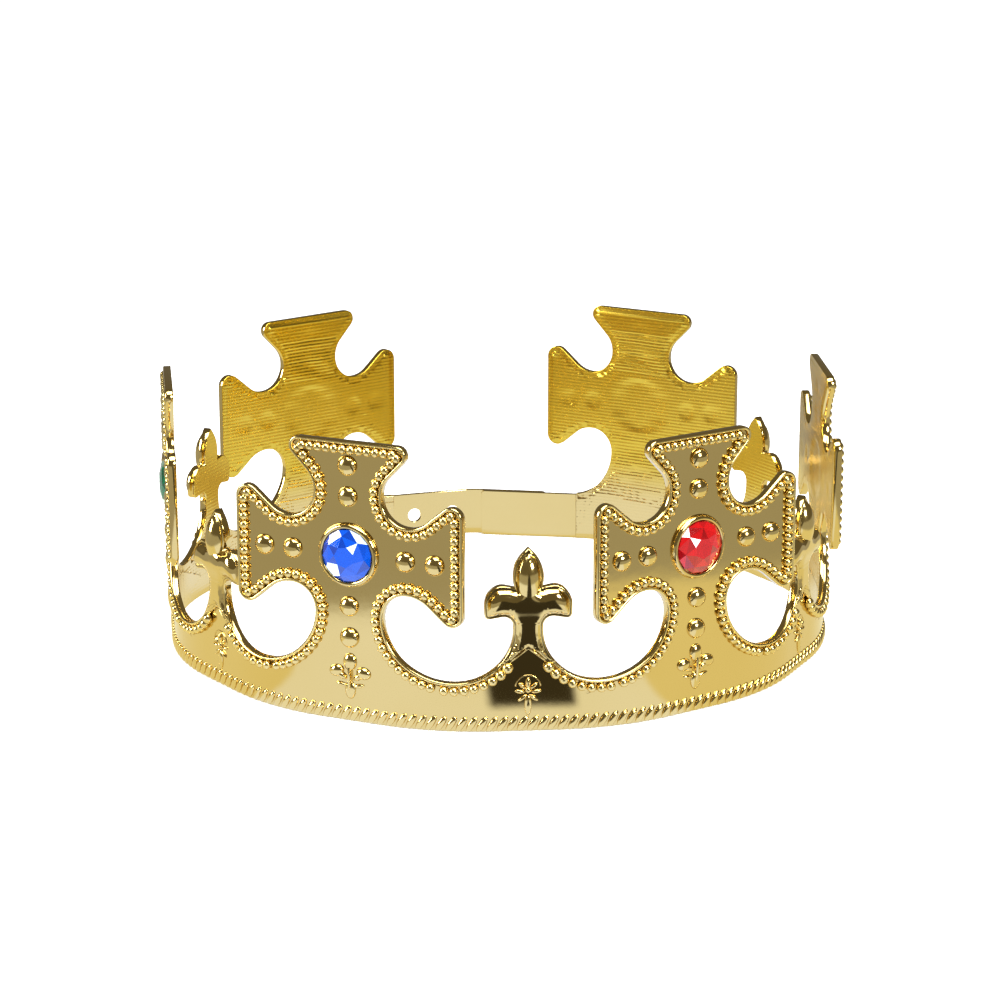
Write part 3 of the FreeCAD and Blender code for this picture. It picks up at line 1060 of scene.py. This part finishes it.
@dataclass
class CrossPanel(Panel):
    """A panel with a splayed cross, eight studs, a clover and the bezel of a stone."""

    studs: tuple = (
        *((0, 15.9), (0, 24.3), (0, -14.2), (0, -22.9)),
        *((-16.6, 0), (-25.1, 0), (16.6, 0), (25.1, 0)),
    )
    stud_radius: float = 2.8
    stud_height: float = 2.0
    strap_side: Union[Side, None] = None

    def half(self, bend: Bend, side: Side) -> Outline:
        """One half of the outline, drawn on the right.

        Args:
            bend: The plan of that half.
            side: Which half it is.

        Returns:
            The outline from the bottom to the top.
        """
        if side is self.strap_side:
            reach = bend.end + 4.0
            foot = [Corner(reach, -4.0), Corner(reach, 14.6), Oval(24.0, 29.8, 14.0, 15.2, 270.0, 180.0)]
        else:
            foot = [Corner(28.0, -4.0), Oval(29.0, 29.8, 19.0, 16.4, 267.0, 180.0)]
        return [
            *foot,
            Corner(10.0, 36.8, 7.0),
            Corner(20.5, 36.8, 9.4),
            Corner(33.3, 26.06, 3.3),
            Corner(33.3, 66.14, 3.3),
            Corner(20.5, 55.4, 8.1),
            Corner(10.0, 55.4, 7.45),
            Corner(10.0, 66.0, 7.45),
            Corner(20.72, 77.1, 2.65),
        ]

    def outline(self) -> Outline:
        """The whole outline."""
        return both_halves(self.half(self.right, Side.RIGHT), self.half(self.left, Side.LEFT))

    def bead_end(self, side: Side) -> float:
        """How far out the bead row runs on the band, which is less where a strap starts."""
        return 18.0 if side is self.strap_side else super().bead_end(side)

    def swell(self, x: float, z: float) -> float:
        """Sink marks behind the studs, and the round seat behind the stone.

        Args:
            x: A place along the panel.
            z: Its height.

        Returns:
            How far the back stands proud there, which is never more than 0.
        """
        depth = -0.25 * (1 - ease(math.hypot(x, z - STONE_HEIGHT), 7.6, 9.0))
        for across, up in self.studs:
            depth -= 0.16 * (1 - ease(math.hypot(x - across, z - STONE_HEIGHT - up), 1.2, 3.4))
        return depth

    def dress(self, relief: Relief) -> None:
        """Adds the studs, the bezel and the clover below the cross.

        Args:
            relief: Where they are pressed.
        """
        radius = self.stud_radius
        for across, up in self.studs:
            relief.pad(relief.punches.stud, across, STONE_HEIGHT + up, radius, radius, self.stud_height)
        self.bezel(relief.bm)
        leaf = relief.punches.leaf
        relief.pad(leaf, 0, 16.4, 2.0, 2.5, 1.3)
        for way in (-1, 1):
            relief.pad(leaf, way * 4.0, 13.6, 2.2, 1.7, 1.3, way * 14)
            relief.pad(leaf, way * 2.4, 12.4, 1.6, 0.9, 1.0, way * -30)
            relief.pad(leaf, way * 2.4, 9.9, 1.8, 0.6, 0.7, way * -12)
        relief.pad(leaf, 0, 8.6, 1.6, 2.6, 0.95)
        relief.bar(leaf, (0, 16.4), (0, 7.8), 0.55, 1.6)

    def bezel(self, bm: BMesh) -> None:
        """Spins the rounded ring that holds the stone.

        Args:
            bm: The panel's mesh.
        """
        outside = [(8.9, -0.1), (8.75, 0.5), (8.4, 1.15), (8.0, 1.4)]
        profile = [*outside, (7.6, 1.35), (7.3, 1.05), (7.25, 0.3)]
        first = bmesh.ops.create_vert(bm, co=(profile[0][0], -profile[0][1], STONE_HEIGHT))["vert"][0]
        chain = [first]
        edges = []
        for radius, proud in profile[1:]:
            pulled = bmesh.ops.extrude_vert_indiv(bm, verts=[chain[-1]])
            chain.append(pulled["verts"][0])
            chain[-1].co = (radius, -proud, STONE_HEIGHT)
            edges += pulled["edges"]
        edges.append(bm.edges.new((chain[-1], chain[0])))
        bmesh.ops.spin(
            bm,
            geom=[*chain, *edges],
            cent=(0, 0, STONE_HEIGHT),
            axis=(0, 1, 0),
            angle=math.tau,
            steps=56,
            use_merge=True,
        )

    def build(self, materials: list, punches: Punches) -> None:
        """Makes the whole panel.

        Args:
            materials: The plating of the front, and of the back in its painted reflection colours.
            punches: The small shapes that are pressed into it.
        """
        bm = self.start()
        self.plate(bm)
        relief = Relief(bm, punches)
        self.beads(relief)
        self.rope(relief)
        self.dress(relief)
        self.finish(bm, materials, "gold_plating")


@dataclass
class FleurPanel(Panel):
    """A panel with a puffed lily on a stem, a chevron and a small palm below it."""

    puff: float = 2.0

    def outline(self) -> Outline:
        """Draws the foot of the panel.

        Returns:
            Its outline, up to inside the stem.
        """
        half = [
            Corner(28.0, -4.0),
            Oval(19.85, 29.8, 19.0, 16.4, 295.4, 270.0),
            Oval(19.85, 28.0, 15.85, 14.6, 270.0, 180.0),
            Corner(4.0, 30.0),
        ]
        return both_halves(half, half)

    def lily(self) -> Outline:
        """Draws the lily and its stem.

        Returns:
            Their outline, from the chevron up.
        """
        half = [
            Corner(0.0, 22.6),
            Corner(5.15, 18.6),
            Oval(19.85, 28.0, 15.9, 14.6, 218.0, 180.0),
            Corner(3.95, 32.2, 2.6),
            Corner(11.6, 30.9, 1.3),
            Corner(11.7, 37.0, 5.0),
            Corner(8.2, 40.6, 4.0),
            Corner(3.7, 39.6),
            Corner(4.9, 45.3, 9.0),
            Corner(0.0, 50.4),
        ]
        return both_halves(half, half[1:-1])

    def bead_path(self) -> list[Vector]:
        """Not one line here, so it is empty."""
        return []

    def build_lily(self, bm: BMesh) -> None:
        """Makes the puffed lily: a thin rim, then a face that rises with the distance from it.

        Args:
            bm: The panel's mesh.
        """
        front = draw(bm, self.lily(), -0.5)
        rim = [vert.co.copy() for vert in front.verts]
        copied = bmesh.ops.duplicate(bm, geom=parts_of([front]))["geom"]
        back = next(part for part in copied if isinstance(part, BMFace))
        for vert in back.verts:
            vert.co.y = WALL + 0.02
        back.normal_flip()
        bmesh.ops.bridge_loops(bm, edges=[*front.edges, *back.edges])
        behind = terrace(bm, back, [(0.12, WALL + 0.1), (0.1, WALL + 0.1), (0.1, WALL + 0.1)])
        for face in [*behind, back]:
            face.material_index = 1
        terrace(bm, front, [(0.16, -0.84), (0.3, -0.9), (0.22, -0.82), (0.12, -0.8)])
        layer = bm.faces.layers.int["ribbed"]
        front[layer] = PUFFED
        bmesh.ops.connect_verts_concave(bm, faces=[front, back])
        for level in steps_between(18.0, 51.0, 0.55):
            slice_at(bm, [f for f in bm.faces if f[layer] == PUFFED], (0, 0, level), (0, 0, 1))
        for place in steps_between(-12.1, 12.1, 0.55):
            slice_at(bm, [f for f in bm.faces if f[layer] == PUFFED], (place, 0, 0), (1, 0, 0))
        inside = {v for f in bm.faces if f[layer] == PUFFED for v in f.verts}
        moved = [v for v in inside if all(f[layer] == PUFFED for f in v.link_faces)]
        sections = list(zip(rim, rim[1:] + rim[:1]))
        for vert in moved:
            vert.co.y = -0.8 - self.rise(vert.co, sections)
        for _ in range(3):
            bmesh.ops.smooth_vert(bm, verts=moved, factor=0.5, use_axis_y=True)
        for face in bm.faces:
            if face[layer] == PUFFED:
                face[layer] = 0

    def rise(self, place: Vector, sections: list[tuple[Vector, Vector]]) -> float:
        """How far the lily stands out at a place.

        Args:
            place: The place on its face.
            sections: The edges of its outline.

        Returns:
            The height over the rim.
        """
        point = Vector((place.x, 0, place.z))
        nearest = 99.0
        for a, b in sections:
            start, run = Vector((a.x, 0, a.z)), Vector((b.x - a.x, 0, b.z - a.z))
            share = min(max((point - start).dot(run) / max(run.length_squared, 1e-9), 0.0), 1.0)
            nearest = min(nearest, (point - start - run * share).length)
        lobes = ease(place.z, 30.5, 35.0)
        depth = min(max(nearest - 0.8, 0.0) / (1.1 + 2.3 * lobes), 1.0)
        return self.puff * (0.4 + 0.6 * lobes) * math.sqrt(1 - (1 - depth) ** 2)

    def dress(self, relief: Relief) -> None:
        """Adds the chevron, the petal and the palm.

        Args:
            relief: Where they are pressed.
        """
        for way in (-1, 1):
            relief.bar(relief.punches.leaf, (0, 23.2), (way * 4.9, 19.4), 0.42, 1.3)
        relief.pad(relief.punches.stud, 0, 41.8, 3.7, 7.0, self.puff + 1.5)
        leaf = relief.punches.leaf
        relief.pad(leaf, 0, 13.1, 0.7, 1.75, 0.8)
        for way in (-1, 1):
            relief.pad(leaf, way * 1.5, 12.4, 0.55, 1.35, 0.7, way * 48)
            relief.pad(leaf, way * 2.2, 10.9, 0.6, 1.4, 0.7, way * 82)
            relief.pad(leaf, way * 1.5, 9.1, 0.55, 1.5, 0.65, way * 128)
        relief.pad(leaf, 0, 11.3, 0.9, 0.9, 0.95)
        relief.pad(leaf, 0, 7.0, 0.95, 2.9, 0.6)
        relief.ridge(0, 12.0, 3.35, 5, 175, 0.2)

    def curve_beads(self, relief: Relief) -> None:
        """Sets the bead rows of both curves, which grow towards the stem.

        Args:
            relief: Where they are pressed.
        """
        scratch = bmesh.new()
        face = draw(scratch, self.outline(), 0.0)
        terrace(scratch, face, [(self.border, 0.0)])
        line = [loop.vert for loop in face.loops]
        for way in (-1, 1):
            path = along_loop(line, lambda p: 4.2 < way * p.x < self.right.end and 6.0 < p.z < 18.9)
            for place in spaced(path, 2.52):
                near = 1 - ease(abs(place.x), 5.0, 12.0)
                relief.bead(place.x, place.z, self.bead_radius + 0.26 * near)
        scratch.free()

    def build(self, materials: list, punches: Punches) -> None:
        """Makes the whole panel.

        Args:
            materials: The plating of the front, and of the back in its painted reflection colours.
            punches: The small shapes that are pressed into it.
        """
        bm = self.start()
        self.plate(bm)
        self.build_lily(bm)
        relief = Relief(bm, punches)
        self.curve_beads(relief)
        self.rope(relief)
        self.dress(relief)
        self.finish(bm, materials, "gold_plating")


# ---------------------------------------------------------------- stones


@dataclass
class Stone(Strip):
    """A round rose cut stone."""

    colour: Colour = Colour.RED
    seed: int = 1
    painted_glints: tuple = ()
    rings: tuple = ((7.2, 0.2, 14, 0.0), (7.2, 1.1, 14, 0.0), (5.6, 2.25, 7, 9.0), (2.9, 2.95, 7, 35.0))

    def build(self, material: bpy.types.Material) -> None:
        """Makes the stone as the hull of rings of points, each ring turned against the last.

        Args:
            material: The stone's material.
        """
        bm = self.start()
        facing = Matrix.Rotation(math.radians(90), 4, "X")
        for radius, proud, count, turn in self.rings:
            lift = Matrix.Translation((0, -proud, STONE_HEIGHT))
            around = Matrix.Rotation(math.radians(turn + 11 * self.seed), 4, "Y")
            bmesh.ops.create_circle(bm, segments=count, radius=radius, matrix=lift @ around @ facing)
        bmesh.ops.convex_hull(bm, input=list(bm.verts))
        level = math.radians(1.5)
        bmesh.ops.dissolve_limit(bm, angle_limit=level, verts=list(bm.verts), edges=list(bm.edges))
        painted_reflection_tone = bm.faces.layers.float.new("facet")
        chance = random.Random(self.seed)
        # Each facet gets a random painted reflection tone, and facets turned towards a glint angle get the
        # full tone, a painted highlight.
        for face in bm.faces:
            middle = face.calc_center_median()
            up = middle.z - STONE_HEIGHT
            turn = math.degrees(math.atan2(up, middle.x))
            painted_glint = any(abs((turn - each + 180) % 360 - 180) < 17 for each in self.painted_glints)
            face[painted_reflection_tone] = 1.0 if painted_glint and math.hypot(middle.x, up) > 2.0 else 0.75 * chance.random()
        self.finish(bm, [material], self.colour.value, smooth=False)


# ---------------------------------------------------------------- straps


@dataclass
class Strap(Strip):
    """A plain strap with holes or pegs."""

    first: float = 0.0
    last: float = 10.0
    round_first: float = 0.0
    round_last: float = 3.0
    height: float = 14.6
    thick: float = 1.2
    middle: float = 7.4
    holes: tuple = ()
    hole_radius: float = 2.2
    pegs: tuple = ()
    peg_radius: float = 1.88
    peg_length: float = 1.85
    edge_round: float = 0.14
    bent_to: float = 80.0
    flat_from: float = 90.0

    def build(self, materials: list) -> None:
        """Makes the strap.

        Args:
            materials: The materials of the outer and the inner face.
        """
        bm = self.start()
        corners = [
            Corner(self.first, 0.0, self.round_first),
            Corner(self.last, 0.0, self.round_last),
            Corner(self.last, self.height, self.round_last),
            Corner(self.first, self.height, self.round_first),
        ]
        bmesh.ops.delete(bm, geom=[draw(bm, corners, 0.0)], context="FACES_ONLY")
        facing = Matrix.Rotation(math.radians(90), 4, "X")
        for hole in self.holes:
            spot = Matrix.Translation((hole, 0, self.middle))
            bmesh.ops.create_circle(bm, segments=36, radius=self.hole_radius, matrix=spot @ facing)
        bmesh.ops.triangle_fill(bm, use_beauty=True, edges=list(bm.edges), normal=(0, -1, 0))
        for place in steps_between(-3.0, 3.0, 0.6):
            slice_at(bm, list(bm.faces), (place, 0, 0), (1, 0, 0))
        shell = bmesh.ops.extrude_face_region(bm, geom=parts_of(list(bm.faces)), use_keep_orig=True)["geom"]
        for part in shell:
            if isinstance(part, BMVert):
                part.co.y += self.thick
            elif isinstance(part, BMFace):
                part.material_index = 1
        for peg in self.pegs:
            self.peg(bm, peg)
        bmesh.ops.recalc_face_normals(bm, faces=bm.faces)
        edge_on = [e for e in bm.edges if len(e.link_faces) == 2 and e.calc_face_angle() > 0.7]
        bmesh.ops.bevel(
            bm,
            geom=edge_on,
            offset=self.edge_round,
            segments=2,
            profile=0.5,
            affect="EDGES",
            material=-1,
            clamp_overlap=True,
        )
        for edge in bm.edges:
            edge.smooth = len(edge.link_faces) == 2 and edge.calc_face_angle() < 0.35
        self.finish(bm, materials, "gold_plating")

    def peg(self, bm: BMesh, place: float) -> None:
        """Adds a peg on the outer face.

        Args:
            bm: The strap's mesh.
            place: Where along the strap.
        """
        bmesh.ops.create_cone(
            bm,
            cap_ends=True,
            segments=32,
            radius1=self.peg_radius,
            radius2=self.peg_radius,
            depth=self.peg_length + 0.2,
            matrix=Matrix.Translation((place, 0.2 - self.peg_length / 2 - 0.1, self.middle))
            @ Matrix.Rotation(math.radians(90), 4, "X"),
        )


# ---------------------------------------------------------------- studio


@dataclass
class Studio:
    """The floor, the cards and lamps round the crown, and the camera."""

    look_at: tuple = (0.0009, 0.0, 0.0373)
    distance: float = 0.8525
    azimuth: float = -5.0
    elevation: float = 15.3
    lens: float = 104.6

    def flat_card(
        self, name: str, size: tuple[float, float], centre: tuple, material: bpy.types.Material
    ) -> bpy.types.Object:
        """A level rectangle of one material.

        Args:
            name: Its name.
            size: Its width and depth in metres.
            centre: Its middle.
            material: Its material.

        Returns:
            The card.
        """
        bm = bmesh.new()
        bmesh.ops.create_grid(bm, x_segments=1, y_segments=1, size=0.5)
        bmesh.ops.scale(bm, vec=(*size, 1.0), verts=bm.verts)
        bmesh.ops.translate(bm, vec=centre, verts=bm.verts)
        mesh = bpy.data.meshes.new(name)
        bm.to_mesh(mesh)
        bm.free()
        mesh.materials.append(material)
        card = bpy.data.objects.new(name, mesh)
        bpy.context.scene.collection.objects.link(card)
        return card

    def floor(self) -> None:
        """The pale floor, and the table that only the plating mirrors."""
        floor = self.flat_card("floor", (12.0, 12.0), (0, 0, -0.0002), Paper().make())
        floor.visible_glossy = False
        table = self.flat_card("table", (8.0, 8.0), (0, 0, -0.0004), TableTop().make())
        table.visible_camera = table.visible_diffuse = table.visible_shadow = False

    def lamp(self, name: str, place: tuple, size: tuple[float, float], watts: float) -> None:
        """A soft box that faces the crown.

        Args:
            name: Its name.
            place: Its middle in metres.
            size: Its width and height.
            watts: Its power.
        """
        data = bpy.data.lights.new(name, "AREA")
        data.shape = "RECTANGLE"
        data.size, data.size_y = size
        data.energy = watts
        lamp = bpy.data.objects.new(name, data)
        lamp.location = place
        aim = Vector(self.look_at) - Vector(place)
        lamp.rotation_euler = aim.to_track_quat("-Z", "Y").to_euler()
        bpy.context.scene.collection.objects.link(lamp)

    def surroundings(self) -> None:
        """White to the eye, a dim room in the mirror of the plating, and even fill light."""
        world = bpy.data.worlds.new("studio")
        bpy.context.scene.world = world
        world.use_nodes = True
        graph = Graph(world.node_tree)
        seen = graph.node("ShaderNodeLightPath", {}, {}, "Is Camera Ray")
        mirrored = graph.node("ShaderNodeLightPath", {}, {}, "Is Glossy Ray")
        room = graph.mix(mirrored, (1.1, 1.1, 1.1, 1), (0.15, 0.13, 0.09, 1))
        shade = graph.mix(seen, room, (1.0, 1.0, 1.0, 1))
        back = graph.node("ShaderNodeBackground", {}, {"Color": shade, "Strength": 1.0})
        graph.node("ShaderNodeOutputWorld", {}, {"Surface": back})

    def camera(self) -> None:
        """The camera."""
        data = bpy.data.cameras.new("camera")
        data.lens = self.lens
        data.sensor_width = 36.0
        camera = bpy.data.objects.new("camera", data)
        turn, lift = math.radians(self.azimuth), math.radians(self.elevation)
        away = Vector((math.sin(turn) * math.cos(lift), -math.cos(turn) * math.cos(lift), math.sin(lift)))
        camera.location = Vector(self.look_at) + away * self.distance
        camera.rotation_euler = (-away).to_track_quat("-Z", "Y").to_euler()
        bpy.context.scene.collection.objects.link(camera)
        bpy.context.scene.camera = camera

    def build(self) -> None:
        """Sets everything up."""
        self.surroundings()
        self.floor()
        self.lamp("lamp_top", (0.05, -0.25, 0.95), (0.9, 0.6), 14.0)
        self.lamp("lamp_left", (-1.1, -0.15, 0.42), (0.35, 0.6), 12.0)
        self.lamp("lamp_right", (0.62, -0.95, 0.55), (0.35, 0.35), 8.0)
        self.camera()
        bpy.context.scene.view_settings.view_transform = "Standard"


# ---------------------------------------------------------------- the crown


# Each stone's deep and bright colours span its painted facet reflections; pale is its painted highlight.
RED = FacetedAcrylic(Colour.RED, (0.10, 0.0, 0.002, 1), (0.34, 0.002, 0.004, 1), (0.95, 0.75, 0.78, 1))
GREEN = FacetedAcrylic(Colour.GREEN, (0.0, 0.012, 0.006, 1), (0.0, 0.085, 0.034, 1), (0.35, 0.6, 0.48, 1))
BLUE = FacetedAcrylic(Colour.BLUE, (0.0, 0.01, 0.13, 1), (0.0, 0.05, 0.38, 1), (0.55, 0.68, 0.95, 1))

STRAP_SLOPE = math.radians(13.0)
CROSSES = {"front": 1, "side": 3, "back": 5}
FLEURS = {"fore": 2, "aft": 4}
STONE_COLOURS = {
    "back_left": Colour.RED,
    "side_left": Colour.GREEN,
    "front_left": Colour.BLUE,
    "front_right": Colour.RED,
    "side_right": Colour.GREEN,
    "back_right": Colour.BLUE,
}
# Angles in degrees where a stone's facets carry a painted highlight, by colour.
PAINTED_GLINTS = {Colour.RED: (135.0,), Colour.GREEN: (120.0, 300.0), Colour.BLUE: (55.0, 225.0)}


@dataclass
class Crown:
    """The whole crown."""

    root_turn: float = math.radians(21.05)
    inner_root: float = 38.45
    outer_root: float = 61.15
    inner_apex: float = 96.0
    outer_bend_face: float = 97.834

    def panels(self, gold: list) -> None:
        """Builds the eleven panels.

        Args:
            gold: The plating of the front, and of the back in its painted reflection colours.
        """
        punches = Punches()
        FleurPanel("fleur_front_panel", ("fleur_front",), "ring", 0.0).build(gold, punches)
        for side in Side:
            word = side.name.lower()
            for place, step in FLEURS.items():
                node = f"fleur_{place}_{word}"
                FleurPanel(f"{node}_panel", (node,), "ring", side.value * step * PITCH).build(gold, punches)
            for place, step in CROSSES.items():
                node = f"cross_{place}_{word}"
                panel = CrossPanel(f"{node}_panel", (node,), "ring", side.value * step * PITCH)
                if place == "back" and side is Side.RIGHT:
                    panel.right = Bend(8.0, self.inner_root, self.root_turn)
                    panel.strap_side = side
                elif place == "back":
                    panel.left = Bend(8.0, self.outer_root, self.root_turn)
                    panel.strap_side = side
                panel.build(gold, punches)

    def stones(self) -> None:
        """Builds the six stones."""
        finishes = {finish.colour: finish.make() for finish in (RED, GREEN, BLUE)}
        for seed, (place, colour) in enumerate(STONE_COLOURS.items(), 1):
            where, word = place.split("_")
            angle = Side[word.upper()].value * CROSSES[where] * PITCH
            node = f"stone_{place}"
            look = {"colour": colour, "seed": seed, "painted_glints": PAINTED_GLINTS[colour]}
            stone = Stone(f"{node}_cut", (node,), "ring", angle, **look)
            stone.build(finishes[colour])

    def straps(self, gold: list) -> None:
        """Builds the two straps.

        Args:
            gold: The plating of the front and of the back.
        """
        foot = self.inner_apex * math.sin(STRAP_SLOPE)
        straight = Bend(200.0, 1.0, 0.0)
        Strap(
            "strap_inner_band",
            ("strap_inner",),
            "inner_strap",
            math.pi - STRAP_SLOPE,
            face=self.inner_apex * math.cos(STRAP_SLOPE) + 0.6,
            right=straight,
            left=straight,
            first=foot - 34.45,
            last=foot - 3.2,
            round_last=1.0,
            pegs=(foot - 6.4, foot - 19.25),
        ).build(gold)
        half = Bend(0.0, 12.6, STRAP_SLOPE)
        Strap(
            "strap_outer_band",
            ("strap_outer",),
            "ring",
            math.pi,
            face=self.outer_bend_face,
            right=half,
            left=half,
            first=-24.59,
            last=26.77,
            round_first=1.0,
            round_last=0.0,
            holes=(-19.69, -6.84, 6.84, 19.69),
        ).build(gold)


def main() -> None:
    """Builds the crown and its studio."""
    logging.basicConfig(level=logging.INFO, format="%(message)s")
    plating = GoldPlating("gold_front")
    front = plating.make()
    # The ribbed back is the same plating in painted reflection colours: golden and amber stand in for gold
    # faces mirrored in gold faces, and they fade to the front's tint towards the bottom.
    golden, amber = (0.76, 0.53, 0.068, 1.0), (0.64, 0.44, 0.04, 1.0)
    ribbed = GoldPlating("gold_ribbed_painted_reflection", golden, amber, roughness=0.2, lines=0.3, low=plating.tint).make()
    brushed = GoldPlating("gold_brushed", roughness=0.12, lines=0.1).make()
    crown = Crown()
    crown.panels([front, ribbed])
    crown.straps([front, brushed])
    crown.stones()
    Studio().build()


if __name__ == "__main__":
    main()
